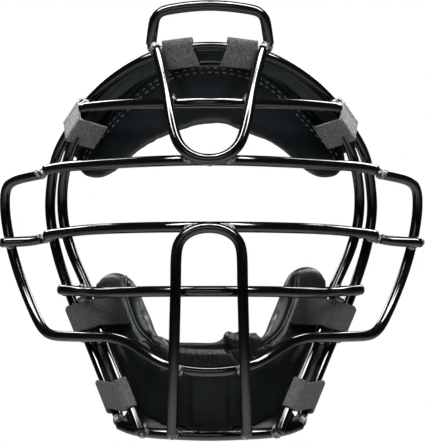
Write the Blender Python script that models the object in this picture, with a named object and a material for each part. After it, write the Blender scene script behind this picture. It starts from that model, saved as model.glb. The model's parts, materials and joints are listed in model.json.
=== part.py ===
"""Catcher's mask: a welded wire cage, two leather pads and eight hook-and-loop tabs.

The mask faces -Y, +Z is up and +X is the wearer's left. Lengths in this file are in
millimetres and are turned to metres by MM. The cage is laid out with Z = 0 at eye height
and Y = 0 at the temples, and the whole model is then moved so that its origin is the
middle of the forehead rest, the flat back of the forehead pad.
"""
import math

import bmesh
import bpy
from mathutils import Vector

for old in list(bpy.data.objects):
    bpy.data.objects.remove(old)

MM = 0.001

# ---------------------------------------------------------------- driving dimensions
WIRE = 6.0            # diameter of every cage wire
GAP = 0.3             # clearance between two solids that touch on the real mask
LAP = WIRE + GAP      # spacing of two wires welded one across the other
LAYER_GAP = 0.5       # between a pad's layers, measured along its depth
RIM_HALF_WIDTH = 94.7     # centre line of the rim at its widest, from the middle
PATTERN_HALF_WIDTH = 94.7 # the rim half width that the routes and pads below are drawn for
FIT = RIM_HALF_WIDTH / PATTERN_HALF_WIDTH   # how much wider than its pattern the mask is
RIM_TOP = 98.3            # height of the rim's top
RIM_BOTTOM = -110.5       # height of the rim's two lower ends
RIM_TOP_Y = -62.0         # how far the rim's top stands in front of the temples
BAR_Y = -105.0            # middle of the two eye bars
BAR_HALF_LENGTH = 96.0    # half the width over the ends of an eye bar
EAR_HALF_WIDTH = 122.0    # centre line of the ear guards, from the middle
CROWN_TOP = 120.5         # height of the crown guard

PANEL = 2.5           # thickness of a pad's leather panels with their stiffener
FOAM = 17.0           # thickness of a pad's foam core
BROW_REST_RISE = 13.5 # height of the origin above the forehead pad's lower edge

TAB_WIDTH = 15.5      # hook-and-loop tabs
FLAP_WIDTH = 13.0     # their free ends, which are cut a little narrower
TAB_THICKNESS = 1.2
TAB_SLACK = 0.9       # between the wire and a tab wrapped round it
FLAP_LENGTH = 22.0    # free flat end of a tab
TAB_HEIGHTS = {"crown": 96.8, "temple": 60.3, "cheek": -58.5, "jaw": -97.5}
TAB_FACING = {"crown": (0.18, 1), "temple": (1, 0.75), "cheek": (1, -0.3), "jaw": (0.58, -1)}

RING_SPACING = 9.0    # between the rings of a wire's surface


# ---------------------------------------------------------------- wire routes
def both_sides(half):
    """A symmetrical route from its half at +X, which starts in the middle."""
    left = [(-x, y, z) for x, y, z in reversed(half) if x > 0]
    return left + list(half)


def other_side(route):
    return [(-x, y, z) for x, y, z in route]


RIM_HALF = [
    (0, RIM_TOP_Y, RIM_TOP),
    (22, RIM_TOP_Y + 1, RIM_TOP - 2.2),
    (40, RIM_TOP_Y + 4, RIM_TOP - 8.2),
    (57, -48, 79.8),
    (68, -38, 70.2),
    (82, -21, 52),
    (90.2, -11, 38),
    (93.9, -3, 20),
    (PATTERN_HALF_WIDTH, 0, 4),
    (91, -2, -16.7),
    (83.5, -11, -38.2),
    (76, -22, -56),
    (68.8, -33, -71),
    (61.5, -45, -87),
    (53.5, -56, -105),
    (51.4, -58.5, RIM_BOTTOM),
]
BOTTOM_BAR_HALF = [
    (0, -84, RIM_BOTTOM - 7.9),
    (20, -81.5, RIM_BOTTOM - 7.4),
    (34, -76, RIM_BOTTOM - 7),
    (44, -70, RIM_BOTTOM - 6),
    (50.5, -64.5, RIM_BOTTOM - 3.5),
]
CHEEK_WIRE = [
    (76, -33, 51),
    (81, -25.5, 41),
    (85.2, -17, 27),
    (86.9, -11, 13),
    (86.4, -10, 0.9),
    (81.4, -13.5, -16.6),
    (76, -19, -28.2),
    (71.2, -25, -38),
    (65.4, -34, -53.7),
    (59.2, -46, -70.3),
    (52.3, -59, -86),
    (45, -69.5, -101),
    (40.5, -77.5, -111),
    (38.2, -75.2 - LAP, -117),
]
BROW_BAR_HALF = [
    (0, -91.5, 65.5),
    (22, -86, 65.6),
    (39, -75, 65.7),
    (56, -60, 65.6),
    (73, -41, 65),
]
UPPER_EYE_BAR_HALF = [
    (0, BAR_Y, 33.4),
    (16.5, BAR_Y + 2.5, 33.3),
    (33, BAR_Y + 11, 33),
    (53, -74, 32.5),
    (71, -51, 32),
    (85.5, -28.7, 31.5),
    (BAR_HALF_LENGTH, -14, 30),
]
LOWER_EYE_BAR_HALF = [
    (0, BAR_Y, -2.9),
    (16.5, BAR_Y + 2.5, -3),
    (33, BAR_Y + 11, -3.2),
    (53, -73, -3.8),
    (71, -46, -4.8),
    (86, -20, -6.4),
    (BAR_HALF_LENGTH, -8, -8),
]
NOSE_BAR_HALF = [
    (0, BAR_Y + 2, -38),
    (16.5, BAR_Y + 4, -38.1),
    (33, BAR_Y + 12, -38.4),
    (50, -77, -39.3),
    (65, -52.5, -39.9),
    (77, -29, -40),
    (87, -17.8, -39.5),
]
EAR_GUARD_HALF = [
    (0, -98, -82.3),
    (16.4, -96.5, -80.8),
    (24.7, -94, -78.5),
    (31.4, -89.5, -75),
    (38.8, -82.5, -70.4),
    (45, -74, -67.2),
    (52, -64.5, -65.6),
    (61.5, -52, -65.4),
    (72, -39, -65.9),
    (83, -29.5, -66.1),
    (90.6, -25, -66.1),
    (95, -22, -64.6),
    (99, -17, -60.7),
    (103.4, -10, -52.9),
    (110, -1, -39.1),
    (115.2, 4.5, -25.7),
    (118.7, 7, -13.9),
    (EAR_HALF_WIDTH - 1, 7.5, -2.1),
    (EAR_HALF_WIDTH, 7, 6.8),
    (EAR_HALF_WIDTH - 0.1, 5, 15.6),
    (EAR_HALF_WIDTH - 1.6, 2.5, 20.8),
    (EAR_HALF_WIDTH - 5, 0, 23.6),
    (112.5, -3, 25.2),
    (106, -8, 26.4),
    (100.5, -11, 27.4),
]
EAR_LINK = [
    (99.5, -2.5, -10.2),
    (105, -0.8, -11.3),
    (112, 0.2, -11.9),
    (123.5, 7.1 - LAP, -12.3),
]
CROWN_GUARD_HALF = [
    (0, -74, CROWN_TOP),
    (14, -73.2, CROWN_TOP - 0.9),
    (25, -72.2, CROWN_TOP - 2.4),
    (29, -71.7, CROWN_TOP - 4.2),
    (31, -71, CROWN_TOP - 7.5),
    (32, -68.5, CROWN_TOP - 14),
    (33, -64.5, RIM_TOP + 1.7),
]
FOREHEAD_LOOP_HALF = [
    (0, BAR_Y - LAP - 0.2, 33.6),
    (5.5, BAR_Y - LAP, 34),
    (11.5, BAR_Y - LAP + 0.4, 36.6),
    (16, BAR_Y - 4.7, 41),
    (18.7, BAR_Y - 1.5, 46.5),
    (21, BAR_Y + 4, 57),
    (23.4, -91.8, 70),
    (26.5, -79.2, 84),
    (29.6, -69.3, 96.5),
]
MOUTH_LOOP_HALF = [
    (0, BAR_Y - LAP - 0.3, -2.9),
    (7.6, BAR_Y - LAP, -4.1),
    (13, BAR_Y - LAP + 0.2, -6.9),
    (16.4, BAR_Y - LAP + 0.3, -11),
    (17.8, BAR_Y - LAP + 0.5, -16),
    (18.1, BAR_Y - LAP + 1, -32),
    (18.6, BAR_Y - LAP + 2.4, -52),
    (19.3, -105.2, -78),
    (20, -98.5, -97),
    (20.6, -91, -111),
    (20.8, -87.8, -117.3),
]


def smooth(route, spacing=RING_SPACING):
    """Points along a smooth curve through all the route's points, as wide as the rim."""
    knots = [Vector((x * FIT, y, z)) for x, y, z in route]
    before = knots[0] * 2 - knots[1]
    after = knots[-1] * 2 - knots[-2]
    knots = [before] + knots + [after]
    curve = []
    for p0, p1, p2, p3 in zip(knots, knots[1:], knots[2:], knots[3:]):
        chord = (p2 - p1).length
        turn1 = (p2 - p0) * (chord / ((p1 - p0).length + chord))
        turn2 = (p3 - p1) * (chord / ((p3 - p2).length + chord))
        steps = max(1, round(chord / spacing))
        for i in range(steps):
            u = i / steps
            curve.append(
                p1 * (2 * u**3 - 3 * u**2 + 1) + turn1 * (u**3 - 2 * u**2 + u)
                + p2 * (3 * u**2 - 2 * u**3) + turn2 * (u**3 - u**2))
    curve.append(knots[-2])
    return curve


# ---------------------------------------------------------------- materials and objects
def material(name, colour, roughness, metallic=0.0):
    made = bpy.data.materials.new(name)
    made.use_nodes = True
    shader = made.node_tree.nodes["Principled BSDF"]
    shader.inputs["Base Color"].default_value = (*colour, 1)
    shader.inputs["Roughness"].default_value = roughness
    shader.inputs["Metallic"].default_value = metallic
    return made


ENAMEL = material("black_enamelled_steel", (0.008, 0.008, 0.009), 0.12)
LEATHER = material("black_leather", (0.014, 0.018, 0.019), 0.5)
LINING = material("soft_lining_leather", (0.03, 0.032, 0.034), 0.65)
FOAM_RUBBER = material("foam_rubber", (0.25, 0.25, 0.26), 0.9)
LOOP_PILE = material("grey_loop_pile", (0.13, 0.13, 0.135), 0.95)

ORIGIN = Vector((0, 0, 0))


def place(name, data, finish):
    made = bpy.data.objects.new(name, data)
    data.materials.append(finish)
    bpy.context.scene.collection.objects.link(made)
    made.location = -ORIGIN * MM
    return made


def lofted(count):
    """Faces of a solid made of four-sided sections, each split along one diagonal.

    The two broad sides are split the same way, so that two layers of a pad stay a
    constant gap apart where their faces are twisted.
    """
    faces = [(0, 1, 2, 3), (count - 4, count - 3, count - 2, count - 1)]
    for i in range(0, count - 4, 4):
        faces += [(i, i + 1, i + 5), (i, i + 5, i + 4)]
        faces += [(i + 2, i + 3, i + 6), (i + 3, i + 7, i + 6)]
        faces += [(i + 1, i + 2, i + 6), (i + 1, i + 6, i + 5)]
        faces += [(i + 3, i, i + 4), (i + 3, i + 4, i + 7)]
    return faces


def mesh_object(name, points, faces, finish):
    """One closed solid from points in millimetres, its faces turned outwards."""
    mesh = bpy.data.meshes.new(name)
    mesh.from_pydata([Vector(point) * MM for point in points], [], faces)
    solid = bmesh.new()
    solid.from_mesh(mesh)
    bmesh.ops.recalc_face_normals(solid, faces=solid.faces)
    solid.to_mesh(mesh)
    solid.free()
    return place(name, mesh, finish)


def wire(name, route):
    """A bent round wire with flat sawn ends."""
    points = smooth(route)
    curve = bpy.data.curves.new(name, "CURVE")
    curve.dimensions = "3D"
    curve.bevel_depth = WIRE / 2 * MM
    curve.bevel_resolution = 2
    curve.render_resolution_u = 0
    curve.use_fill_caps = True
    spline = curve.splines.new("POLY")
    spline.points.add(len(points) - 1)
    for knot, point in zip(spline.points, points):
        knot.co = (*(point * MM), 1)
    return place(name, curve, ENAMEL)


# ---------------------------------------------------------------- pads
# A pad is a row of cross-sections. Each one gives the outer and the inner edge of the
# front face, the direction, of unit length, from the front to the wearer, and how much
# wider the pad gets on its outer side on the way there. The forehead pad widens behind
# the rim, and every other stretch narrows.
def unit(x, y, z):
    return Vector((x, y, z)).normalized()


FOREHEAD_STATIONS = [
    ((13, -58.5, 90.3), (7, -58.5, 55.5), unit(0, 1, 0), 5.5),
    ((30, -54, 86.2), (16, -59, 52.8), unit(-0.15, 1, -0.05), 5.5),
    ((44, -47.5, 79.2), (24, -56.5, 49.5), unit(-0.3, 1, -0.08), 5.5),
    ((57, -38, 70), (33, -52, 45), unit(-0.45, 1, -0.1), 4),
    ((68, -26, 57.5), (41, -46, 39.5), unit(-0.6, 1, -0.1), 0),
    ((74.5, -16.5, 44), (47, -40, 34), unit(-0.5, 1, -0.05), -6),
    ((76.5, -12.5, 34), (53, -34, 29.5), unit(-0.4, 1, 0), -8),
    ((72.5, -14, 28), (61, -25, 26.5), unit(-0.15, 1, 0), -5),
]
CHIN_STATIONS = [
    ((13, -77.5, -113.2), (11, -77.5, -68), unit(0, 1, 0), -8),
    ((27, -73.5, -112), (20, -74.5, -67.5), unit(-0.1, 1, 0.05), -8),
    ((40, -64.5, -107), (27, -67, -66.5), unit(-0.25, 1, 0.1), -8),
    ((51.5, -50.5, -94), (31, -60, -62.5), unit(-0.4, 1, 0.1), -8),
    ((59.5, -37.5, -79), (34.5, -54, -56), unit(-0.5, 1, 0.08), -8),
    ((65.5, -26, -63), (38, -48, -48.5), unit(-0.6, 1, 0.05), -8),
    ((70, -16, -47), (41, -42, -41.5), unit(-0.5, 1, 0), -8),
    ((69.5, -12.5, -38), (46, -36, -34.5), unit(-0.35, 1, 0), -8),
    ((63, -16, -31.5), (53.5, -26, -30.3), unit(-0.1, 1, 0), -4.6),
]
CORE_FRONT = PANEL + LAYER_GAP
CORE_BACK = CORE_FRONT + FOAM
LINING_FRONT = CORE_BACK + LAYER_GAP
PAD_DEPTH = LINING_FRONT + PANEL
PAD_LAYERS = [
    ("front_panel", 0, PANEL, LEATHER),
    ("foam_core", CORE_FRONT, CORE_BACK, FOAM_RUBBER),
    ("face_lining", LINING_FRONT, PAD_DEPTH, LINING),
]


def pad_point(station, across, depth):
    """A point of a pad: across runs from 0 at the outer edge to 1 at the inner edge."""
    outer, inner, inwards, widening = station
    outer = Vector((outer[0] * FIT, outer[1], outer[2]))
    inner = Vector((inner[0] * FIT, inner[1], inner[2]))
    outwards = (outer - inner).normalized()
    edge = outer + outwards * (widening * depth / PAD_DEPTH) + inwards * depth
    return edge.lerp(inner + Vector((0, depth, 0)), across)


def pad_layer(name, stations, front, back, finish):
    rows = [(station, 1) for station in reversed(stations)]
    rows += [(station, -1) for station in stations]
    points = []
    for station, side in rows:
        for across, depth in ((0, front), (1, front), (1, back), (0, back)):
            x, y, z = pad_point(station, across, depth)
            points.append((side * x, y, z))
    return mesh_object(name, points, lofted(len(points)), finish)


BROW_EDGE = pad_point(FOREHEAD_STATIONS[0], 1, PAD_DEPTH)
ORIGIN = Vector((0, BROW_EDGE.y, BROW_EDGE.z + BROW_REST_RISE))


# ---------------------------------------------------------------- tabs
def at_height(route, height):
    """The point and the direction of a route where it passes a height."""
    points = smooth(route, spacing=2.0)
    for a, b in zip(points, points[1:]):
        if a.z >= height > b.z:
            return a.lerp(b, (a.z - height) / (a.z - b.z)), (b - a).normalized()
    raise ValueError("the route doesn't reach that height")


class TabFrame:
    """Axes at a tab: along the rim, outwards from it and back towards the wearer."""

    def __init__(self, name):
        self.middle, self.along = at_height(RIM_HALF, TAB_HEIGHTS[name])
        across, up = TAB_FACING[name]
        facing = Vector((across, 0, up))
        self.out = (facing - self.along * facing.dot(self.along)).normalized()
        self.back = self.out.cross(self.along)
        if self.back.y < 0:
            self.back = -self.back

    def local(self, point):
        offset = point - self.middle
        return offset.dot(self.out), offset.dot(self.back)

    def crossing(self, route):
        """Where a route passes through the plane across the rim, as out and back."""
        points = smooth(route, spacing=2.0)
        for a, b in zip(points, points[1:]):
            ahead = (a - self.middle).dot(self.along)
            behind = (b - self.middle).dot(self.along)
            if ahead <= 0 < behind:
                return self.local(a.lerp(b, -ahead / (behind - ahead)))
        raise ValueError("the route doesn't pass the tab")

    def point(self, out, back, along):
        return self.middle + self.out * out + self.back * back + self.along * along


def arc(centre, radius, start, end, steps=6):
    """Points round a centre, by angle in degrees from outwards towards the back."""
    turns = [math.radians(start + (end - start) * i / steps) for i in range(steps + 1)]
    return [(centre[0] + radius * math.cos(a), centre[1] + radius * math.sin(a))
            for a in turns]


def strip(name, frame, middle_line, width, side):
    """A band of webbing that follows a line in the plane across the rim."""
    normals = []
    for i, (out, back) in enumerate(middle_line):
        a = middle_line[max(i - 1, 0)]
        b = middle_line[min(i + 1, len(middle_line) - 1)]
        run = Vector((b[0] - a[0], b[1] - a[1])).normalized()
        normals.append(Vector((run.y, -run.x)))
    points = []
    for (out, back), normal in zip(middle_line, normals):
        for across, skin in ((-1, -1), (1, -1), (1, 1), (-1, 1)):
            p = frame.point(
                out + normal.x * skin * TAB_THICKNESS / 2,
                back + normal.y * skin * TAB_THICKNESS / 2,
                across * width / 2)
            points.append((side * p.x, p.y, p.z))
    return mesh_object(name, points, lofted(len(points)), LOOP_PILE)


STRAP_RADIUS = WIRE / 2 + TAB_SLACK + TAB_THICKNESS / 2
FLAP_RADIUS = STRAP_RADIUS + TAB_THICKNESS + GAP
FLAP_START = {"crown": 0, "temple": 20, "cheek": 30, "jaw": 30}      # in degrees, as in arc
FLAP_TANGENT = {"crown": 14, "temple": 42, "cheek": 42, "jaw": 42}   # it runs straight from here
STRAP_LAP = 10.0      # how far round the rim a strap goes on under its flap
STRAP_REACH = {"crown": 11.0, "temple": 17.0}   # from the rim's middle to the pad's seam
SEAM_DROP = 1.2       # how far a strap sinks towards the pad on its way to the seam
CHEEK_SLACK = 0.5     # extra room where a tab crosses the cheek wire at a slant
CHEEK_WRAP = 60.0     # how far a tab goes round the front of the cheek wire


def strap_line(name, frame):
    """The sewn half of a tab, from the pad over the front of the wires to the rim."""
    strap_end = FLAP_START[name] + STRAP_LAP
    if name in STRAP_REACH:
        reach = STRAP_REACH[name]
        inside = [(-reach, SEAM_DROP - STRAP_RADIUS), (-reach / 2, SEAM_DROP / 4 - STRAP_RADIUS)]
        return inside + arc((0, 0), STRAP_RADIUS, -90, strap_end, 9)
    cheek = frame.crossing(CHEEK_WIRE)
    lean = math.degrees(math.atan2(-cheek[1], -cheek[0])) - 90
    over = arc(cheek, STRAP_RADIUS + CHEEK_SLACK, lean - CHEEK_WRAP, lean)
    return over + arc((0, 0), STRAP_RADIUS, lean, strap_end)


def flap_line(name):
    """The free half of a tab, round the rim and then straight back beside the pad."""
    bend = arc((0, 0), FLAP_RADIUS, FLAP_START[name], FLAP_TANGENT[name], 3)
    lean = math.radians(FLAP_TANGENT[name])
    out, back = bend[-1]
    end = (out - FLAP_LENGTH * math.sin(lean), back + FLAP_LENGTH * math.cos(lean))
    return bend + [end]


# ---------------------------------------------------------------- the mask
wire("rim", both_sides(RIM_HALF))
wire("bottom_bar", both_sides(BOTTOM_BAR_HALF))
wire("brow_bar", both_sides(BROW_BAR_HALF))
wire("upper_eye_bar", both_sides(UPPER_EYE_BAR_HALF))
wire("lower_eye_bar", both_sides(LOWER_EYE_BAR_HALF))
wire("nose_bar", both_sides(NOSE_BAR_HALF))
wire("ear_and_chin_wire", both_sides(EAR_GUARD_HALF))
wire("crown_guard", both_sides(CROWN_GUARD_HALF))
wire("forehead_loop", both_sides(FOREHEAD_LOOP_HALF))
wire("mouth_loop", both_sides(MOUTH_LOOP_HALF))
wire("cheek_wire_left", CHEEK_WIRE)
wire("cheek_wire_right", other_side(CHEEK_WIRE))
wire("ear_link_left", EAR_LINK)
wire("ear_link_right", other_side(EAR_LINK))

for pad_name, pad_stations in (("forehead", FOREHEAD_STATIONS), ("chin", CHIN_STATIONS)):
    for layer, front, back, finish in PAD_LAYERS:
        pad_layer(f"{pad_name}_pad_{layer}", pad_stations, front, back, finish)

for tab_name in TAB_HEIGHTS:
    tab = TabFrame(tab_name)
    for side_name, side in (("left", 1), ("right", -1)):
        strip(f"{tab_name}_strap_{side_name}", tab, strap_line(tab_name, tab), TAB_WIDTH, side)
        strip(f"{tab_name}_flap_{side_name}", tab, flap_line(tab_name), FLAP_WIDTH, side)
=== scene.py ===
"""Catcher's mask: the visible surfaces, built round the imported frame.

Lengths are in metres unless a name ends in _MM. +X is the wearer's left, +Y goes from the
cage to the wearer and +Z is up. The origin is on the forehead pad's flat back.
"""
import json
import math
import random

import bpy
from mathutils import Matrix, Vector
from mathutils.bvhtree import BVHTree
from mathutils.kdtree import KDTree

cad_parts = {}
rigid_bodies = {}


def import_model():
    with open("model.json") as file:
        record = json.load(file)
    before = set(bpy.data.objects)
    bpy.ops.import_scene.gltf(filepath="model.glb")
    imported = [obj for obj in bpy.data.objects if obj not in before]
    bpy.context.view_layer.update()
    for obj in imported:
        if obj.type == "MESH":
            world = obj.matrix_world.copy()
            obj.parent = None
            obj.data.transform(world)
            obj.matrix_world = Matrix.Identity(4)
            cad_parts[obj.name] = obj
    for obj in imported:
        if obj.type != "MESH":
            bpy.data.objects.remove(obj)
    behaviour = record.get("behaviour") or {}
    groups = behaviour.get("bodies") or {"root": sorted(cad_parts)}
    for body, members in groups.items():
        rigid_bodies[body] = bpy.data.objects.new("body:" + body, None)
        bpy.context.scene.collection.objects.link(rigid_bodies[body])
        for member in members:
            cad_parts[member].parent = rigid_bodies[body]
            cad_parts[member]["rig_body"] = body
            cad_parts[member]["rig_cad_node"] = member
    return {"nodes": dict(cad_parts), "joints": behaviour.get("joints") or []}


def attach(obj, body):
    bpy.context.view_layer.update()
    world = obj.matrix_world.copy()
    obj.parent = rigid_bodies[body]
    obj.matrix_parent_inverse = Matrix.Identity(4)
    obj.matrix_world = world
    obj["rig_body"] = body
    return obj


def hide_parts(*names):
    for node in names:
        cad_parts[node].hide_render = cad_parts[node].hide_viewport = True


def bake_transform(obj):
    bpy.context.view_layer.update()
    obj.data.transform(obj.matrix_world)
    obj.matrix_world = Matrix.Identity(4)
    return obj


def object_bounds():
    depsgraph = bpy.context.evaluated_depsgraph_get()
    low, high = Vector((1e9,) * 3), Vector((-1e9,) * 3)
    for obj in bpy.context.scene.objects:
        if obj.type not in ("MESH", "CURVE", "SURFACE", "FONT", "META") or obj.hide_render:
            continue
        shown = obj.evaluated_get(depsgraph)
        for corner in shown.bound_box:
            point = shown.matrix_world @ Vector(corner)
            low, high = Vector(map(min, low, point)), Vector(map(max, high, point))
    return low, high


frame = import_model()
cad_box = [list(corner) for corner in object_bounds()]

# ---------------------------------------------------------------- camera
# The mask is seen from straight in front, level with its middle. The long lens stands far
# enough back for the guards and the rim to keep their true sizes.
CAMERA_PLACE = (0.0131, -1.36445, -0.06896)
CAMERA_TURN = math.radians(0.5)
LENS_MM = 193.4
bpy.ops.object.camera_add(location=CAMERA_PLACE, rotation=(math.radians(90), 0, CAMERA_TURN))
camera = bpy.context.object
camera.data.lens = LENS_MM
bpy.context.scene.camera = camera

# ---------------------------------------------------------------- studio
# A white sweep far below and behind. Two long softboxes overhead draw the bright lines along
# the wires, two more catch the bars where they turn back, and a weak panel opens up the pads.
def linear(colour):
    """A colour written as sRGB hex, as the linear values that Blender works in."""
    channels = [int(colour[i:i + 2], 16) / 255 for i in (1, 3, 5)]
    return [c / 12.92 if c <= 0.04045 else ((c + 0.055) / 1.055) ** 2.4 for c in channels] + [1]


def add_node(tree, kind, inputs=None, **settings):
    """Adds a node. Its inputs are values, or the sockets of the nodes that feed them."""
    made = tree.nodes.new(kind)
    for name, value in settings.items():
        setattr(made, name, value)
    for name, value in (inputs or {}).items():
        if isinstance(value, bpy.types.NodeSocket):
            tree.links.new(value, made.inputs[name])
        else:
            made.inputs[name].default_value = value
    return made


world = bpy.data.worlds.new("white_studio")
bpy.context.scene.world = world
world.use_nodes = True
sky = world.node_tree
sky.nodes.clear()
ray = add_node(sky, "ShaderNodeLightPath")
sweep = add_node(sky, "ShaderNodeBackground", {"Color": linear("#ffffff"), "Strength": 1.0})
direction = add_node(sky, "ShaderNodeTexCoord")
height = add_node(sky, "ShaderNodeSeparateXYZ", {"Vector": direction.outputs["Generated"]})
dark_room = add_node(sky, "ShaderNodeValToRGB", {"Fac": height.outputs["Z"]})
dark_room.color_ramp.elements[0].color = linear("#8c8c8c")
dark_room.color_ramp.elements[1].color = linear("#1c1c1e")
dark_room.color_ramp.elements[1].position = 0.35
room = add_node(sky, "ShaderNodeBackground", {"Color": dark_room.outputs["Color"], "Strength": 0.22})
seen = add_node(sky, "ShaderNodeMixShader", {
    0: ray.outputs["Is Camera Ray"], 1: room.outputs["Background"], 2: sweep.outputs["Background"]})
add_node(sky, "ShaderNodeOutputWorld", {"Surface": seen.outputs["Shader"]})
bpy.context.scene.view_settings.view_transform = "Standard"

FLOOR_DROP = 0.9        # below the mask
FLOOR_SIZE = 40
bpy.ops.mesh.primitive_plane_add(size=FLOOR_SIZE, location=(0, 0, cad_box[0][2] - FLOOR_DROP))
floor = bpy.context.object
floor.name = "studio_floor"
paper = bpy.data.materials.new("white_sweep_paper")
paper.use_nodes = True
tree = paper.node_tree
matt = tree.nodes["Principled BSDF"]
matt.inputs["Base Color"].default_value = linear("#f2f2f2")
matt.inputs["Roughness"].default_value = 0.8
ray = add_node(tree, "ShaderNodeLightPath")
glow = add_node(tree, "ShaderNodeEmission", {"Color": linear("#ffffff"), "Strength": 1.0})
even = add_node(tree, "ShaderNodeMixShader", {                         # evenly lit to the eye
    0: ray.outputs["Is Camera Ray"], 1: matt.outputs["BSDF"], 2: glow.outputs["Emission"]})
tree.links.new(even.outputs["Shader"], tree.nodes["Material Output"].inputs["Surface"])
floor.data.materials.append(paper)

MASK_MIDDLE = (0, 0, -0.07)
SOFTBOXES = [
    # name, place, size across and along, power in watts
    ("overhead_left", (-0.42, -0.35, 0.95), (0.30, 0.9), 26),
    ("overhead_right", (0.42, -0.35, 0.95), (0.30, 0.9), 26),
    ("overhead_centre", (0, -0.35, 1.0), (0.4, 0.3), 8),
    ("rear_left", (-0.6, 0.95, 0.65), (0.4, 0.6), 9),
    ("rear_right", (0.6, 0.95, 0.65), (0.4, 0.6), 9),
    ("front_fill", (-0.25, -2.2, 0.35), (1.2, 0.8), 4),
]
for name, place, (across, along), power in SOFTBOXES:
    bpy.ops.object.light_add(type="AREA", location=place)
    softbox = bpy.context.object
    softbox.name = name
    softbox.data.shape = "RECTANGLE"
    softbox.data.size = across
    softbox.data.size_y = along
    softbox.data.energy = power
    aim = Vector(MASK_MIDDLE) - Vector(place)
    softbox.rotation_euler = aim.to_track_quat("-Z", "Y").to_euler()

# ---------------------------------------------------------------- cage
# Fourteen lengths of 6 mm steel wire, bent cold, resistance welded where they cross, and
# dipped in black enamel, which leaves a glassy skin with a faint orange peel.
WIRES = [
    "rim", "bottom_bar", "brow_bar", "upper_eye_bar", "lower_eye_bar", "nose_bar",
    "ear_and_chin_wire", "crown_guard", "forehead_loop", "mouth_loop",
    "cheek_wire_left", "cheek_wire_right", "ear_link_left", "ear_link_right",
]
WIRE_WIDTH = 0.006
SUBDIVIDED_LOSS = 0.000325   # what an eight-sided tube loses when it is rounded
CUT_END_ANGLE = math.radians(60)   # a wire's cut end stays flat


def new_material(name):
    """A material with its node tree and its Principled shader."""
    made = bpy.data.materials.new(name)
    made.use_nodes = True
    return made, made.node_tree, made.node_tree.nodes["Principled BSDF"]


def merged_copy(name, *nodes):
    """One mesh from copies of CAD nodes, with their corners joined up."""
    bpy.ops.object.select_all(action="DESELECT")
    for node in nodes:
        frame["nodes"][node].select_set(True)
    bpy.context.view_layer.objects.active = frame["nodes"][nodes[0]]
    bpy.ops.object.duplicate()
    if len(nodes) > 1:
        bpy.ops.object.join()
    copy = bpy.context.object
    copy.name = name
    copy.parent = None
    del copy["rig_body"], copy["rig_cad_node"]
    copy.data.materials.clear()
    bpy.ops.object.mode_set(mode="EDIT")
    bpy.ops.mesh.select_all(action="SELECT")
    bpy.ops.mesh.remove_doubles(threshold=0.00001)
    bpy.ops.object.mode_set(mode="OBJECT")
    return copy


def apply_modifier(piece, kind, **settings):
    """Adds a modifier with these settings and applies it."""
    bpy.context.view_layer.objects.active = piece
    modifier = piece.modifiers.new("finish", kind)
    for name, value in settings.items():
        setattr(modifier, name, value)
    bpy.ops.object.modifier_apply(modifier=modifier.name)


enamel, tree, shader = new_material("dipped_black_enamel")
spot = add_node(tree, "ShaderNodeTexCoord")
peel = add_node(tree, "ShaderNodeTexNoise", {
    "Vector": spot.outputs["Object"], "Scale": 450, "Detail": 1})      # orange peel, 2 mm apart
shader.inputs["Base Color"].default_value = linear("#060607")
shader.inputs["IOR"].default_value = 1.55
wear = add_node(tree, "ShaderNodeTexNoise", {
    "Vector": spot.outputs["Object"], "Scale": 60, "Detail": 4})       # hazy patches, 15 mm
haze = add_node(tree, "ShaderNodeMapRange", {
    "Value": wear.outputs["Fac"], "From Min": 0.35, "From Max": 0.7, "To Min": 0.07, "To Max": 0.16})
tree.links.new(haze.outputs["Result"], shader.inputs["Roughness"])
skin = add_node(tree, "ShaderNodeBump", {
    "Height": peel.outputs["Fac"], "Strength": 0.25, "Distance": 0.00008})
tree.links.new(skin.outputs["Normal"], shader.inputs["Normal"])

cage = {}
cut_ends = {}
for name in WIRES:
    wire = merged_copy(name + "_wire", name)
    bpy.ops.object.mode_set(mode="EDIT")
    bpy.ops.mesh.tris_convert_to_quads(face_threshold=math.pi, shape_threshold=math.pi)
    bpy.ops.transform.shrink_fatten(value=SUBDIVIDED_LOSS)
    bpy.ops.mesh.select_mode(type="EDGE")
    bpy.ops.mesh.select_all(action="DESELECT")
    bpy.ops.mesh.edges_select_sharp(sharpness=CUT_END_ANGLE)
    bpy.ops.transform.edge_crease(value=1)
    bpy.ops.mesh.select_mode(type="VERT")
    bpy.ops.object.mode_set(mode="OBJECT")
    rings = [vertex.co.copy() for vertex in wire.data.vertices if vertex.select]
    first = [corner for corner in rings if (corner - rings[0]).length < WIRE_WIDTH * 1.5]
    last = [corner for corner in rings if (corner - rings[0]).length >= WIRE_WIDTH * 1.5]
    cut_ends[name] = [sum(ring, Vector()) / len(ring) for ring in (first, last)]
    apply_modifier(wire, "SUBSURF", levels=2, render_levels=2)
    bpy.ops.object.shade_smooth()
    wire.data.materials.append(enamel)
    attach(wire, "mask")
    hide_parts(name)
    cage[name] = wire

# ---------------------------------------------------------------- welds
# Where two wires cross they are squeezed together under current, which pushes out a bead of
# metal between them. A wire's cut end has a bead of its own. The beads carry pale grey spots,
# painted highlights that stand in for the glints the welds catch.
WELD_REACH = 0.0027      # two wires nearer than this are welded
WELD_SPACING = 0.010     # one weld for each stretch this long
WELD_RADIUS = 0.0034
WELD_BITE = 0.0016       # how far a bead goes into each wire
END_REACH = 0.0056       # how far a cut end's middle may be from the wire that it is welded to
END_RADIUS = 0.0031
random.seed(7)

# Pale grey spots painted over the beads: a painted highlight for the glints that they catch.
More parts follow.
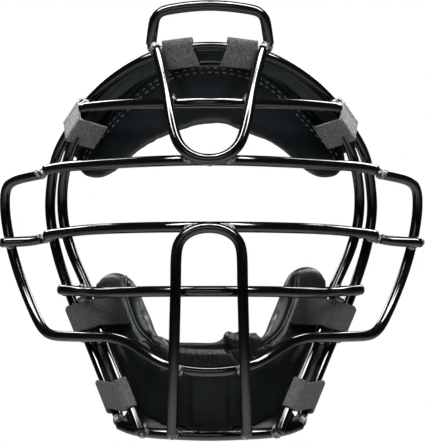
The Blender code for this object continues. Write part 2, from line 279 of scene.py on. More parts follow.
weld_glint_finish, tree, shader = new_material("enamel_over_weld_painted_glints")
spot = add_node(tree, "ShaderNodeTexCoord")
glint_and_lump_noise = add_node(tree, "ShaderNodeTexNoise", {
    "Vector": spot.outputs["Object"], "Scale": 500, "Detail": 2})      # painted glint spots and the lumps, 2 mm
painted_glint_mask = add_node(tree, "ShaderNodeMapRange", {
    "Value": glint_and_lump_noise.outputs["Fac"], "From Min": 0.42, "From Max": 0.56})
shade = add_node(tree, "ShaderNodeMix", {
    0: painted_glint_mask.outputs["Result"], "A": linear("#161717"), "B": linear("#8d8e8c")}, data_type="RGBA")
tree.links.new(shade.outputs["Result"], shader.inputs["Base Color"])
shader.inputs["Roughness"].default_value = 0.32
lumps = add_node(tree, "ShaderNodeBump", {
    "Height": glint_and_lump_noise.outputs["Fac"], "Strength": 0.5, "Distance": 0.0006})
tree.links.new(lumps.outputs["Normal"], shader.inputs["Normal"])


def surface(piece):
    """A tree for finding points on a piece's surface."""
    return BVHTree.FromPolygons(
        [v.co for v in piece.data.vertices], [tuple(p.vertices) for p in piece.data.polygons])


def touching_spots(one, other):
    """The middle and the gap, for each place where two wires nearly touch."""
    spots = []
    near = []
    for vertex in one.data.vertices:
        place, _, _, gap = skins[other.name].find_nearest(vertex.co, WELD_REACH)
        if place is not None:
            near.append((gap, vertex.co, place))
    for _, here, there in sorted(near, key=lambda found: found[0]):
        middle = (here + there) / 2
        if all((middle - spot[0]).length > WELD_SPACING for spot in spots):
            spots.append((middle, there - here))
    return spots


def bead(middle, across, radius, bite):
    """One weld bead: a ball squashed into the gap between two wires."""
    bpy.ops.mesh.primitive_uv_sphere_add(segments=20, ring_count=12, radius=1)
    made = bpy.context.object
    turn = across.to_track_quat("Z", "Y").to_matrix().to_4x4()
    stretch = Matrix.Diagonal((radius, radius, across.length / 2 + bite, 1))
    made.data.transform(Matrix.Translation(middle) @ turn @ stretch)
    return made


def join_pieces(name, pieces):
    """Joins new pieces into one object."""
    bpy.ops.object.select_all(action="DESELECT")
    for piece in pieces:
        piece.select_set(True)
    bpy.context.view_layer.objects.active = pieces[0]
    if len(pieces) > 1:
        bpy.ops.object.join()
    joined = bpy.context.object
    joined.name = name
    return joined


def on_mask(piece, finish):
    """Gives a fixed piece its material and ties it to the mask."""
    piece.data.materials.clear()
    piece.data.materials.append(finish)
    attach(piece, "mask")


skins = {wire.name: surface(wire) for wire in cage.values()}
beads = []
for i, name in enumerate(WIRES):
    for other in WIRES[i + 1:]:
        for middle, across in touching_spots(cage[name], cage[other]):
            beads.append(bead(middle, across, WELD_RADIUS * random.uniform(0.9, 1.12), WELD_BITE))
welds = join_pieces("weld_beads", beads)
bpy.ops.object.shade_smooth()
on_mask(welds, weld_glint_finish)

end_beads = []
for name, ends in cut_ends.items():
    for end in ends:
        found = [skins[wire.name].find_nearest(end, END_REACH) for wire in cage.values()
                 if wire is not cage[name]]
        found = [(reach, place) for place, _, _, reach in found if place is not None]
        if found:
            _, place = min(found, key=lambda near: near[0])
            end_beads.append(bead((end + place) / 2, place - end, END_RADIUS, WELD_BITE))
end_welds = join_pieces("end_weld_beads", end_beads)
bpy.ops.object.shade_smooth()
on_mask(end_welds, weld_glint_finish)

# ---------------------------------------------------------------- leather
# Cow leather, dyed through and pressed with a fine grain, with a satin top coat that
# catches broad, soft light. Creases are a little duller than the tops of the grain.
GRAIN_MM = 0.8


def leather(name, colour, crease, roughness, grain_mm, depth):
    """A grained leather: its grain is cells a given number of millimetres across."""
    made, tree, shader = new_material(name)
    spot = add_node(tree, "ShaderNodeTexCoord")
    cells = add_node(tree, "ShaderNodeTexVoronoi", {
        "Vector": spot.outputs["Object"], "Scale": 1000 / grain_mm}, feature="DISTANCE_TO_EDGE")
    soft = add_node(tree, "ShaderNodeTexNoise", {
        "Vector": spot.outputs["Object"], "Scale": 1000 / (grain_mm * 9), "Detail": 4})
    pebble = add_node(tree, "ShaderNodeMapRange", {
        "Value": cells.outputs["Distance"], "From Max": 0.25})
    shade = add_node(tree, "ShaderNodeMix", {
        0: soft.outputs["Fac"], "A": linear(crease), "B": linear(colour)}, data_type="RGBA")
    tree.links.new(shade.outputs["Result"], shader.inputs["Base Color"])
    gloss = add_node(tree, "ShaderNodeMapRange", {
        "Value": soft.outputs["Fac"], "From Min": 0.3, "From Max": 0.7,
        "To Min": roughness - 0.07, "To Max": roughness + 0.07})
    tree.links.new(gloss.outputs["Result"], shader.inputs["Roughness"])
    grain = add_node(tree, "ShaderNodeBump", {
        "Height": pebble.outputs["Result"], "Strength": depth, "Distance": 0.0002})
    swell = add_node(tree, "ShaderNodeBump", {
        "Height": soft.outputs["Fac"], "Strength": 0.3, "Distance": 0.0008,
        "Normal": grain.outputs["Normal"]})
    tree.links.new(swell.outputs["Normal"], shader.inputs["Normal"])
    shader.inputs["Specular IOR Level"].default_value = 0.22   # a dressed, not a varnished, skin
    return made


brow_leather = leather("dyed_cow_leather", "#091216", "#050b0e", 0.5, GRAIN_MM, 0.16)
# The flanges and their ribs are painted lighter than the pads, to make up for the shade they lie in
# behind the rim.
flange_leather_painted_lighter = leather("painted_lighter_flange_leather", "#4a5457", "#30373a", 0.5, GRAIN_MM, 0.3)
chin_leather = leather("polished_cow_leather", "#14191b", "#0b0e10", 0.4, GRAIN_MM, 0.22)

soft_lining, tree, shader = new_material("brushed_suede_lining")
spot = add_node(tree, "ShaderNodeTexCoord")
nap = add_node(tree, "ShaderNodeTexNoise", {                           # suede nap, 1.2 mm
    "Vector": spot.outputs["Object"], "Scale": 800, "Detail": 3})
patches = add_node(tree, "ShaderNodeTexNoise", {                       # rubbed patches, 20 mm
    "Vector": spot.outputs["Object"], "Scale": 50, "Detail": 3})
shade = add_node(tree, "ShaderNodeMix", {
    0: patches.outputs["Fac"], "A": linear("#15181a"), "B": linear("#2a2e30")}, data_type="RGBA")
tree.links.new(shade.outputs["Result"], shader.inputs["Base Color"])
shader.inputs["Roughness"].default_value = 0.9
shader.inputs["Sheen Weight"].default_value = 0.3
fluff = add_node(tree, "ShaderNodeBump", {
    "Height": nap.outputs["Fac"], "Strength": 0.6, "Distance": 0.0003})
tree.links.new(fluff.outputs["Normal"], shader.inputs["Normal"])

# ---------------------------------------------------------------- forehead pad
# A band of foam sewn into leather, arched over the brow. The front panel meets the side
# wall in a rolled seam, with two rows of stitches just inside it.
STUFFING_SHRINK = 0.0005  # room that the filling takes up when it swells the cover
VOXEL = 0.0026
CLOTH_STEPS = 20
LINING_TURN = 0.45        # the lining covers what faces the wearer
LINING_LIFT = 0.0004
LINING_CORD = 0.0007
LAYER_OVERLAP = 0.0005    # closes the gaps between a pad's layers
SWELL_LIMIT = 0.003
PAD_PRESSURE = 4.0


def stuffed(name, pad, pressure, lumps_mm=()):
    """A pad's three CAD layers as one leather cover, swollen by its filling."""
    layers = [f"{pad}_pad_{layer}" for layer in ("front_panel", "foam_core", "face_lining")]
    cover = merged_copy(name, *layers)
    balls = []
    for place, radius in lumps_mm:
        bpy.ops.mesh.primitive_uv_sphere_add(segments=20, ring_count=12, radius=radius / 1000)
        balls.append(bpy.context.object)
        balls[-1].data.transform(Matrix.Translation(Vector(place) / 1000))
    cover = join_pieces(name, [cover, *balls])
    bpy.ops.object.mode_set(mode="EDIT")
    bpy.ops.mesh.select_all(action="SELECT")
    bpy.ops.transform.shrink_fatten(value=LAYER_OVERLAP)
    bpy.ops.object.mode_set(mode="OBJECT")
    apply_modifier(cover, "REMESH", mode="VOXEL", voxel_size=VOXEL)
    bpy.ops.object.mode_set(mode="EDIT")
    bpy.ops.mesh.select_all(action="SELECT")
    bpy.ops.transform.shrink_fatten(value=-STUFFING_SHRINK - LAYER_OVERLAP)
    bpy.ops.object.mode_set(mode="OBJECT")
    apply_modifier(cover, "SMOOTH", factor=0.5, iterations=4)
    swell(cover, pressure)
    apply_modifier(cover, "SMOOTH", factor=0.5, iterations=10)
    apply_modifier(cover, "SUBSURF", levels=1, render_levels=1)
    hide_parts(*layers)
    return cover


def swell(cover, pressure):
    """Blows up a cover by cloth simulation, and limits how far each point has moved."""
    flat = [vertex.co.copy() for vertex in cover.data.vertices]
    cloth = cover.modifiers.new("stuffing", "CLOTH")
    cloth.settings.use_pressure = True
    cloth.settings.uniform_pressure_force = pressure
    cloth.settings.effector_weights.gravity = 0
    for step in range(1, CLOTH_STEPS + 1):
        bpy.context.scene.frame_set(step)
    bpy.context.view_layer.objects.active = cover
    bpy.ops.object.modifier_apply(modifier=cloth.name)
    bpy.context.scene.frame_set(1)
    for vertex, start in zip(cover.data.vertices, flat):
        moved = vertex.co - start
        if moved.length > SWELL_LIMIT:
            vertex.co = start + moved.normalized() * SWELL_LIMIT


def lining(name, cover):
    """A soft lining over the face of a pad that rests on the wearer, with its corded edge."""
    bpy.ops.object.select_all(action="DESELECT")
    cover.select_set(True)
    bpy.context.view_layer.objects.active = cover
    bpy.ops.object.duplicate()
    cloth = bpy.context.object
    cloth.name = name
    for key in list(cloth.keys()):
        del cloth[key]
    bpy.ops.object.mode_set(mode="EDIT")
    bpy.ops.mesh.select_mode(type="FACE")
    bpy.ops.mesh.select_all(action="DESELECT")
    bpy.ops.object.mode_set(mode="OBJECT")
    for face in cloth.data.polygons:
        face.select = face.normal.y < LINING_TURN
    bpy.ops.object.mode_set(mode="EDIT")
    bpy.ops.mesh.delete(type="FACE")
    bpy.ops.mesh.select_mode(type="VERT")
    bpy.ops.mesh.select_all(action="SELECT")
    bpy.ops.transform.shrink_fatten(value=LINING_LIFT)
    bpy.ops.mesh.select_all(action="DESELECT")
    bpy.ops.mesh.select_non_manifold()
    bpy.ops.mesh.vertices_smooth(factor=0.5, repeat=12)
    bpy.ops.mesh.duplicate()
    bpy.ops.mesh.separate(type="SELECTED")
    bpy.ops.object.mode_set(mode="OBJECT")
    edge = [found for found in bpy.context.selected_objects if found is not cloth][0]
    bpy.ops.object.select_all(action="DESELECT")
    edge.select_set(True)
    bpy.context.view_layer.objects.active = edge
    edge.modifiers.clear()
    bpy.ops.object.convert(target="CURVE")
    edge.data.bevel_depth = LINING_CORD
    edge.data.bevel_resolution = 2
    bpy.ops.object.convert(target="MESH")
    bpy.ops.object.shade_smooth()
    edge.name = name + "_cord"
    apply_modifier(cloth, "SOLIDIFY", thickness=LINING_LIFT, offset=-1)
    return cloth, edge


def smooth_line(points, spacing):
    """Points at an even spacing along a smooth curve through the given points."""
    points = [Vector(point) for point in points]
    knots = [points[0] * 2 - points[1], *points, points[-1] * 2 - points[-2]]
    dense = []
    for a, b, c, d in zip(knots, knots[1:], knots[2:], knots[3:]):
        for i in range(40):
            u = i / 40
            dense.append(0.5 * (
                2 * b + (c - a) * u + (2 * a - 5 * b + 4 * c - d) * u**2
                + (3 * b - a - 3 * c + d) * u**3))
    dense.append(knots[-2])
    line = [dense[0]]
    run = 0
    for before, after in zip(dense, dense[1:]):
        run += (after - before).length
        if run >= spacing:
            line.append(after)
            run = 0
    return line


def mirrored(half):
    """A line across the middle from its half at +X, which starts in the middle."""
    return [(-x, z) for x, z in reversed(half) if x > 0] + list(half)


def sewn_line(cover, flat_line_mm, spacing, front=True):
    """A line drawn as (x, z) in millimetres, laid on a pad's front or back."""
    skin = surface(cover)
    start, way = (-0.3, 1) if front else (0.3, -1)
    line = []
    for x, z, _ in smooth_line([(x / 1000, z / 1000, 0) for x, z in flat_line_mm], spacing):
        place, normal, _, _ = skin.ray_cast(Vector((x, start, z)), Vector((0, way, 0)))
        if place is not None:
            line.append((place, normal))
    return line


def press_in(cover, line, depth, width):
    """Sinks a pad's surface along a sewn line."""
    finder = KDTree(len(line))
    for i, (place, _) in enumerate(line):
        finder.insert(place, i)
    finder.balance()
    for vertex in cover.data.vertices:
        _, i, reach = finder.find(vertex.co)
        if reach < width * 3:
            vertex.co -= line[i][1] * depth * math.exp(-(reach / width) ** 2)


def piping(name, line, radius, lift):
    """A round cord of leather along a sewn line."""
    bpy.ops.curve.primitive_nurbs_path_add()
    cord = bpy.context.object
    cord.name = name
    cord.data.splines.clear()
    spline = cord.data.splines.new("POLY")
    spline.points.add(len(line) - 1)
    for point, (place, normal) in zip(spline.points, line):
        point.co = (*(place + normal * lift), 1)
    cord.data.bevel_depth = radius
    cord.data.bevel_resolution = 3
    cord.data.use_fill_caps = True
    bpy.ops.object.convert(target="MESH")
    bpy.ops.object.shade_smooth()
    return bpy.context.object


STITCH_LENGTH = 0.0026
STITCH_PITCH = 0.0035
THREAD = 0.00042


def stitches(line, spacing):
    """Single stitches laid end to end along a sewn line, each one a short fat thread."""
    step = round(STITCH_PITCH / spacing)
    made = []
    for i in range(step, len(line) - step, step):
        place, normal = line[i]
        along = (line[i + 1][0] - line[i - 1][0]).normalized()
        side = normal.cross(along).normalized()
        up = along.cross(side)
        bpy.ops.mesh.primitive_uv_sphere_add(segments=8, ring_count=6, radius=1)
        stitch = bpy.context.object
        turn = Matrix((along, side, up)).transposed().to_4x4()
        size = Matrix.Diagonal((STITCH_LENGTH / 2, THREAD, THREAD, 1))
        stitch.data.transform(Matrix.Translation(place + up * THREAD * 0.3) @ turn @ size)
        made.append(stitch)
    return made


LINE_STEP = 0.0007
BROW_SEAM_MM = [(0, 20.6), (12, 19.8), (24, 16.8), (33, 12.8), (43, 5.6), (53, -4), (61, -12),
                (69.5, -20.5), (75.5, -28), (76.5, -34)]
BROW_STITCH_INSETS_MM = (3.2, 5.5)
BROW_LOBE_TOP = -0.025     # below this height the pad's two ends hang down a little
BROW_LOBE_HEIGHT = 0.0175
BROW_LOBE_SAG = 0.0028
BROW_LOBE_SHOULDER = -0.012   # and from here down they spread outwards
BROW_LOBE_SPREAD = 0.045
FLANGE_LAP = 0.0025        # how far the flange goes behind the rim
FLANGE_DEPTH = 0.0036
FLANGE_THICKNESS = 0.0012
RIB_HEIGHTS_MM = (24.2, 26.4)


def inset_line(line_mm, inset_mm, centre_mm):
    """A drawn line moved towards a centre by a distance."""
    moved = []
    for x, z in line_mm:
        inwards = Vector((centre_mm[0] - x, centre_mm[1] - z)).normalized()
        moved.append((x + inwards.x * inset_mm, z + inwards.y * inset_mm))
    return moved


def flange(name, cover, line_mm, wire, sag):
    """A strip of leather from a line on a pad to just behind a wire, and the line that
    its own seam follows halfway across."""
    line = sewn_line(cover, line_mm, 0.003)
    inner = [place - normal * FLANGE_THICKNESS for place, normal in line]
    outer = []
    for place, _ in line:
        there = skins[wire].find_nearest(place)[0]
        outwards = Vector((there.x - place.x, 0, there.z - place.z)).normalized()
        outer.append(there + outwards * FLANGE_LAP + Vector((0, FLANGE_DEPTH, 0)))
    bpy.ops.mesh.primitive_grid_add(x_subdivisions=len(line) - 1, y_subdivisions=10, size=1)
    strip = bpy.context.object
    strip.name = name

    def point(i, t):
        return inner[i].lerp(outer[i], t) + Vector((0, sag * 4 * t * (1 - t), 0))

    for vertex in strip.data.vertices:
        i = round((vertex.co.x + 0.5) * (len(line) - 1))
        vertex.co = point(i, vertex.co.y + 0.5)
    apply_modifier(strip, "SMOOTH", factor=0.5, iterations=4)
    seam = [(vertex.co.copy(), Vector((0, -1, 0))) for vertex in strip.data.vertices]
    across = len(line)
    seam = seam[across * 6:across * 7]
    apply_modifier(strip, "SOLIDIFY", thickness=FLANGE_THICKNESS, offset=0)
    bpy.ops.object.mode_set(mode="EDIT")
    bpy.ops.mesh.select_all(action="SELECT")
    bpy.ops.mesh.normals_make_consistent(inside=False)
    bpy.ops.object.mode_set(mode="OBJECT")
    bpy.ops.object.shade_smooth()
    return strip, seam


thread, tree, shader = new_material("waxed_nylon_thread")
shader.inputs["Base Color"].default_value = linear("#585e61")
shader.inputs["Roughness"].default_value = 0.45
twist_place = add_node(tree, "ShaderNodeTexCoord")
twist = add_node(tree, "ShaderNodeTexWave", {
    "Vector": twist_place.outputs["Object"], "Scale": 900, "Distortion": 2.0})
ply = add_node(tree, "ShaderNodeBump", {
    "Height": twist.outputs["Fac"], "Strength": 0.4, "Distance": 0.0001})
tree.links.new(ply.outputs["Normal"], shader.inputs["Normal"])

brow_cover = stuffed("forehead_pad_cover", "forehead", PAD_PRESSURE)
for vertex in brow_cover.data.vertices:
    drop = min(1, max(0, (BROW_LOBE_TOP - vertex.co.z) / BROW_LOBE_HEIGHT))
    vertex.co.z -= BROW_LOBE_SAG * drop * drop
    spread = min(1, max(0, (BROW_LOBE_SHOULDER - vertex.co.z) / BROW_LOBE_HEIGHT))
    vertex.co.x *= 1 + BROW_LOBE_SPREAD * spread
seam = sewn_line(brow_cover, mirrored(BROW_SEAM_MM), LINE_STEP)
press_in(brow_cover, seam, 0.0012, 0.0016)
apply_modifier(brow_cover, "SUBSURF", levels=1, render_levels=1)
bpy.ops.object.shade_smooth()
on_mask(brow_cover, brow_leather)
brow_edge = sewn_line(brow_cover, mirrored(BROW_SEAM_MM), 0.002)
brow_lining, brow_lining_cord = lining("forehead_pad_lining", brow_cover)
on_mask(brow_lining, soft_lining)
on_mask(brow_lining_cord, brow_leather)
brow_piping = piping("forehead_pad_rolled_seam", brow_edge, 0.0009, 0.0003)
on_mask(brow_piping, brow_leather)
brow_rows = []
for inset in BROW_STITCH_INSETS_MM:
    row = inset_line(mirrored(BROW_SEAM_MM), inset, (0, -70))
    brow_rows += stitches(sewn_line(brow_cover, row, LINE_STEP), LINE_STEP)
brow_stitches = join_pieces("forehead_pad_stitches", brow_rows)
on_mask(brow_stitches, thread)
brow_flange, flange_seam = flange(
    "forehead_pad_flange", brow_cover, mirrored(BROW_SEAM_MM), "rim_wire", 0.002)
on_mask(brow_flange, flange_leather_painted_lighter)
ribs = [piping("rib", flange_seam, 0.0007, 0.0004)]
for height in RIB_HEIGHTS_MM:
    rib = sewn_line(brow_flange, [(-9, height), (9, height)], 0.001)
    ribs.append(piping("rib", rib, 0.0006, 0.0002))
brow_ribs = join_pieces("forehead_pad_flange_ribs", ribs)
on_mask(brow_ribs, flange_leather_painted_lighter)

# ---------------------------------------------------------------- chin pad
# A cup of the same foam and leather that holds the jaw, with a lobe up each cheek. The
# leather is folded and gathered over its top edge, in front of the chin.
CHIN_SEAM_MM = [(49, -101), (48, -112), (44.5, -122), (40.5, -130), (34, -136), (28, -139)]
CHIN_PANEL_MM = [(12.2, -150), (11.6, -160), (11.2, -172), (11.4, -183)]
CHIN_ROLL_MM = [(0, -139.6), (9, -139.4), (17, -138.6)]
FOLDS_MM = [
    # the fold's line, its depth (a ridge has a negative depth) and its width
    ([(-33, -133), (-28, -138), (-23, -145)], -1.8, 2.6),
    ([(-26, -132), (-22, -138), (-19, -144)], 1.5, 1.5),
    ([(-37, -137), (-31, -143), (-26, -150)], 1.3, 1.6),
    ([(9, -131), (14, -137), (20, -143)], -2.0, 2.8),
    ([(7, -134), (10, -140), (17, -147)], 1.4, 1.4),
    ([(18, -131), (22, -137), (25, -144)], 1.5, 1.4),
    ([(24, -132), (28, -137), (31, -143)], -1.6, 2.4),
    ([(60, -113), (57, -124), (53, -136), (46, -147)], 1.0, 2.2),
    ([(-60, -113), (-57, -124), (-53, -136), (-46, -147)], 1.0, 2.2),
]
SHIRRING_MM = (-16, 9, -148.5, -140.5)   # the gathered patch: left, right, bottom, top
SHIRRING_PITCH = 0.0031
SHIRRING_DEPTH = 0.0006
GATHERS_MM = [
    # bunched leather on both sides of the gathered patch: a lump's middle and its radius
    ((-29, -31, -138), 6.0), ((-22, -34, -141), 4.5),
    ((11, -36, -137), 5.5), ((18, -35, -136), 6.5), ((28, -30, -138), 5.5),
]
CHIN_FLANGE_MM = [(62, -104), (60.5, -118), (57, -132), (52, -146), (46, -158), (40, -168)]
CHIN_HEM_MM = [(0, -182), (14, -181), (27, -177), (37, -170), (42, -164)]
CHIN_EDGE_TOP = -0.160                   # below this the pad's lower edge is let down
CHIN_EDGE_HEIGHT = 0.022
CHIN_EDGE_DROP = 0.0055
LOBE_RISE = {1: 0.0055, -1: 0.002}       # how much a lobe is pushed up, by side
LOBE_START = -0.118
LOBE_CLIMB = 0.014

chin_cover = stuffed("chin_pad_cover", "chin", PAD_PRESSURE, GATHERS_MM)
apply_modifier(chin_cover, "SUBSURF", levels=1, render_levels=1)
for vertex in chin_cover.data.vertices:
    x, y, z = vertex.co
    climb = min(1, max(0, (z - LOBE_START) / LOBE_CLIMB))
    vertex.co.z += LOBE_RISE[1 if x > 0 else -1] * climb * climb * (3 - 2 * climb)
    drop = min(1, max(0, (CHIN_EDGE_TOP - z) / CHIN_EDGE_HEIGHT))
    vertex.co.z -= CHIN_EDGE_DROP * drop
for line_mm in (CHIN_SEAM_MM, [(-x, z) for x, z in CHIN_SEAM_MM]):
    press_in(chin_cover, sewn_line(chin_cover, line_mm, LINE_STEP), 0.0016, 0.0018)
for line_mm in (CHIN_PANEL_MM, [(-x, z) for x, z in CHIN_PANEL_MM]):
    press_in(chin_cover, sewn_line(chin_cover, line_mm, LINE_STEP), 0.001, 0.0014)
press_in(chin_cover, sewn_line(chin_cover, mirrored(CHIN_ROLL_MM), LINE_STEP), 0.0022, 0.0022)
for line_mm, depth, width in FOLDS_MM:
    press_in(chin_cover, sewn_line(chin_cover, line_mm, LINE_STEP), depth / 1000, width / 1000)
west, east, low, high = (length / 1000 for length in SHIRRING_MM)
for vertex in chin_cover.data.vertices:
    x, y, z = vertex.co
    if west < x < east and low < z < high and y < 0:
        window = math.sin(math.pi * (x - west) / (east - west)) ** 0.5
        window *= math.sin(math.pi * (z - low) / (high - low))
        wave = math.sin(2 * math.pi * (x + 0.15 * (z - low)) / SHIRRING_PITCH)
        vertex.co.y -= SHIRRING_DEPTH * window * wave
bpy.ops.object.shade_smooth()
on_mask(chin_cover, chin_leather)

chin_lining, chin_lining_cord = lining("chin_pad_lining", chin_cover)
on_mask(chin_lining, soft_lining)
on_mask(chin_lining_cord, chin_leather)
chin_cords = []
for line_mm in (CHIN_SEAM_MM, [(-x, z) for x, z in CHIN_SEAM_MM]):
    line = sewn_line(chin_cover, line_mm, 0.002)
    chin_cords.append(piping("cord", line, 0.0008, 0.0002))
chin_piping = join_pieces("chin_pad_rolled_seams", chin_cords)
on_mask(chin_piping, chin_leather)
chin_rows = []
for line_mm in (CHIN_PANEL_MM, [(-x, z) for x, z in CHIN_PANEL_MM]):
    chin_rows += stitches(sewn_line(chin_cover, line_mm, LINE_STEP), LINE_STEP)
chin_stitches = join_pieces("chin_pad_stitches", chin_rows)
on_mask(chin_stitches, chin_leather)
for place, line_mm, wire in (
        ("left", CHIN_FLANGE_MM, "rim_wire"),
        ("right", [(-x, z) for x, z in CHIN_FLANGE_MM], "rim_wire"),
        ("below", mirrored(CHIN_HEM_MM), "bottom_bar_wire")):
    chin_flange, _ = flange(f"chin_pad_flange_{place}", chin_cover, line_mm, wire, 0.003)
    on_mask(chin_flange, chin_leather)

# ---------------------------------------------------------------- tabs
# Eight straps of hook-and-loop webbing, sewn to the pads. Each goes over the front of the
# wires, round the rim and back beside the pad, with its pile outwards.
TAB_FACING = {"crown": (0.18, 1), "temple": (1, 0.75), "cheek": (1, -0.3), "jaw": (0.58, -1)}
CROWN_TAB_ROOT_MM = (11, -3.3, 2.5)
TEMPLE_TAB_START_MM = (-17.5, -3.6, 0)
CHEEK_TAB_START = (0.048, -0.009, -0.120)   # where a cheek tab is sewn to the pad's front
TAB_WIDTHS = {"crown": 0.0172, "temple": 0.0184, "cheek": 0.0188, "jaw": 0.0190}
# How far a tab is shifted along the rim: where it goes round it, and inside it.
TAB_SLANTS_MM = {"temple": (0, 0), "cheek": (2.6, -5.5), "jaw": (0, -11)}
TAB_THICKNESS = 0.0012
WRAP_RADIUS = 0.0045
FLAP_RADIUS = 0.006
FLAP_TURN = 42              # where the flap leaves the wire, in degrees from outwards
FLAP_LENGTH = 0.022
CHEEK_WIRE_SLICE = 0.006    # a tab crosses the cheek wire within this of its own plane
CHEEK_WIRE_REACH = 0.03     # and no farther than this from the rim
INNER_SHADE_FADE = 0.018


def loop_pile(name, shadow, tip, shade_edge=0):
    """Brushed nylon loops, dark between the tufts and pale at their tips. Nearer the middle of
    the mask than a given distance they darken over 18 mm, a painted shade where the tab dips behind
    the wire."""
    made, tree, shader = new_material(name)
    spot = add_node(tree, "ShaderNodeTexCoord")
    loops = add_node(tree, "ShaderNodeTexNoise", {                     # single loops, 1 mm
        "Vector": spot.outputs["Object"], "Scale": 1300, "Detail": 3, "Roughness": 0.7})
    tufts = add_node(tree, "ShaderNodeTexNoise", {                     # clumped nap, 4 mm
        "Vector": spot.outputs["Object"], "Scale": 250, "Detail": 2})
    speckle = add_node(tree, "ShaderNodeMapRange", {
        "Value": loops.outputs["Fac"], "From Min": 0.35, "From Max": 0.65})
    shade = add_node(tree, "ShaderNodeMix", {
        0: speckle.outputs["Result"], "A": linear(shadow), "B": linear(tip)}, data_type="RGBA")
    place = add_node(tree, "ShaderNodeSeparateXYZ", {"Vector": spot.outputs["Object"]})
    aside = add_node(tree, "ShaderNodeMath", {0: place.outputs["X"]}, operation="ABSOLUTE")
    # Painted shade: nearer the middle than the given distance the pile darkens, where a tab dips
    # into the gap behind the wire.
    inner_shade_ramp = add_node(tree, "ShaderNodeMapRange", {
        "Value": aside.outputs["Value"], "From Min": shade_edge - INNER_SHADE_FADE, "From Max": shade_edge,
        "To Min": 0.12, "To Max": 1.0})
    inner_shade_mix = add_node(tree, "ShaderNodeMix", {
        0: inner_shade_ramp.outputs["Result"], "A": linear("#030304"), "B": shade.outputs["Result"]},
        data_type="RGBA")
    tree.links.new(inner_shade_mix.outputs["Result"], shader.inputs["Base Color"])
    shader.inputs["Roughness"].default_value = 0.95
    shader.inputs["Specular IOR Level"].default_value = 0.1
    shader.inputs["Sheen Weight"].default_value = 0.05
    shader.inputs["Sheen Roughness"].default_value = 0.5
    fuzz = add_node(tree, "ShaderNodeBump", {
        "Height": loops.outputs["Fac"], "Strength": 0.8, "Distance": 0.0005})
    nap = add_node(tree, "ShaderNodeBump", {
        "Height": tufts.outputs["Fac"], "Strength": 0.4, "Distance": 0.0006,
        "Normal": fuzz.outputs["Normal"]})
    tree.links.new(nap.outputs["Normal"], shader.inputs["Normal"])
    return made


# One webbing in four copies, painted lighter or darker for the light each tab gets: painted lighter
# on the temple tabs, and painted darker on the jaw and cheek tabs than on the crown tabs.
crown_tab_pile = loop_pile("brushed_nylon_loop_pile", "#242426", "#69696c")
temple_pile_painted_lighter = loop_pile("nylon_loop_pile_painted_lighter", "#48484a", "#9c9c9f")
jaw_pile_painted_darker = loop_pile("nylon_loop_pile_painted_darker", "#343436", "#5a5a5c")
cheek_pile_painted_shade = loop_pile("nylon_loop_pile_painted_shade", "#2c2c2e", "#56565a", 0.072)
TAB_PILES = {"crown": crown_tab_pile, "temple": temple_pile_painted_lighter, "cheek": cheek_pile_painted_shade, "jaw": jaw_pile_painted_darker}


def around(centre, radius, grow, start, end, steps=14):
    """Points round a wire, by angle in degrees from outwards towards the back."""
    points = []
    for i in range(steps + 1):
        t = i / steps
        turn = math.radians(start + (end - start) * t)
        reach = radius + grow * t
        points.append((centre[0] + reach * math.cos(turn), centre[1] + reach * math.sin(turn), 0))
    return points


def tab_path(name, crossing, start):
    """A tab's middle line as (outwards, backwards, along) in the plane across the rim."""
    lean = math.radians(FLAP_TURN)
    if crossing:
        lean_in = math.degrees(math.atan2(-crossing[1], -crossing[0])) - 90
        wrap = 20 if start else 100   # a jaw tab rolls on down behind the wire
        over = around(crossing, WRAP_RADIUS + 0.0005, 0, lean_in - wrap, lean_in, 6)
        at_rim, inside = (length / 1000 for length in TAB_SLANTS_MM[name])
        over = [(out, back, inside) for out, back, _ in over]
        if start:
            over = [start, tuple((a + b) / 2 for a, b in zip(start, over[0]))] + over
        flap = around((0, 0), WRAP_RADIUS, FLAP_RADIUS - WRAP_RADIUS, lean_in, FLAP_TURN)
        flap = over + [(out, back, at_rim) for out, back, _ in flap]
    else:
        out, back, along = (length / 1000 for length in CROWN_TAB_ROOT_MM)
        flap = around((0, 0), WRAP_RADIUS, FLAP_RADIUS - WRAP_RADIUS, -90, FLAP_TURN)
        flap = [(-out, back, along), (-out / 2, -WRAP_RADIUS + 0.0003, along / 2)] + flap
    out, back, along = flap[-1]
    return flap + [(out - FLAP_LENGTH * math.sin(lean) * t,
                    back + FLAP_LENGTH * math.cos(lean) * t, along) for t in (0.5, 1)]


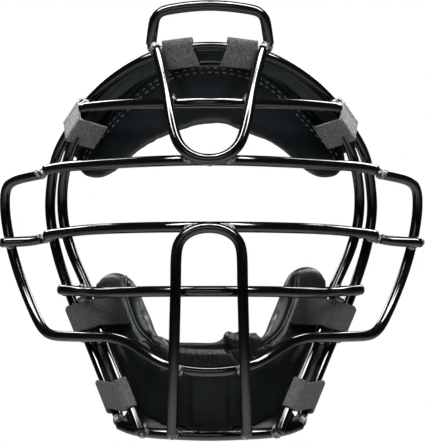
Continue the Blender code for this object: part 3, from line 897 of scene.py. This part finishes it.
def tab(name, joint, side):
    """One tab as a grid laid along its path, and thickened."""
    middle = Vector(joint["pos_m"])
    axis = Vector(joint["axis"]).normalized()
    across, up = TAB_FACING[name]
    facing = Vector((across * side, 0, up))
    out = (facing - axis * facing.dot(axis)).normalized()
    back = out.cross(axis)
    crossing = start = None
    if name != "crown":
        cheek_wire = cage["cheek_wire_left" if side > 0 else "cheek_wire_right"]
        near = [vertex.co - middle for vertex in cheek_wire.data.vertices]
        near = [d for d in near
                if abs(d.dot(axis)) < CHEEK_WIRE_SLICE and d.length < CHEEK_WIRE_REACH]
        centre = sum(near, Vector()) / len(near)
        crossing = (centre.dot(out), centre.dot(back))
    if name == "temple":
        start = tuple(length / 1000 for length in TEMPLE_TAB_START_MM)
    if name == "cheek":
        x, y, z = CHEEK_TAB_START
        reach = Vector((x * side, y, z)) - middle
        start = (reach.dot(out), reach.dot(back), -reach.dot(axis) * side)
    line = smooth_line([Vector(p) for p in tab_path(name, crossing, start)], 0.0008)
    bpy.ops.mesh.primitive_grid_add(x_subdivisions=12, y_subdivisions=len(line) - 1, size=1)
    strap = bpy.context.object
    for vertex in strap.data.vertices:
        o, b, shift = line[min(len(line) - 1, round((vertex.co.y + 0.5) * (len(line) - 1)))]
        along = vertex.co.x * TAB_WIDTHS[name]
        vertex.co = middle + out * o + back * b + axis * (along - shift * side)
    apply_modifier(strap, "SOLIDIFY", thickness=TAB_THICKNESS, offset=0)
    bpy.ops.object.mode_set(mode="EDIT")
    bpy.ops.mesh.select_all(action="SELECT")
    bpy.ops.mesh.normals_make_consistent(inside=False)
    bpy.ops.object.mode_set(mode="OBJECT")
    apply_modifier(strap, "BEVEL", width=0.0003, segments=2, limit_method="ANGLE")
    bpy.ops.object.shade_smooth()
    place = "left" if side > 0 else "right"
    strap.name = f"{name}_tab_{place}"
    strap.data.materials.append(TAB_PILES[name])
    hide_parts(f"{name}_strap_{place}", f"{name}_flap_{place}")
    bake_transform(strap)


for joint in frame["joints"]:
    tab_name, _, tab_side = joint["child"].split("_")
    tab(tab_name, joint, 1 if tab_side == "left" else -1)
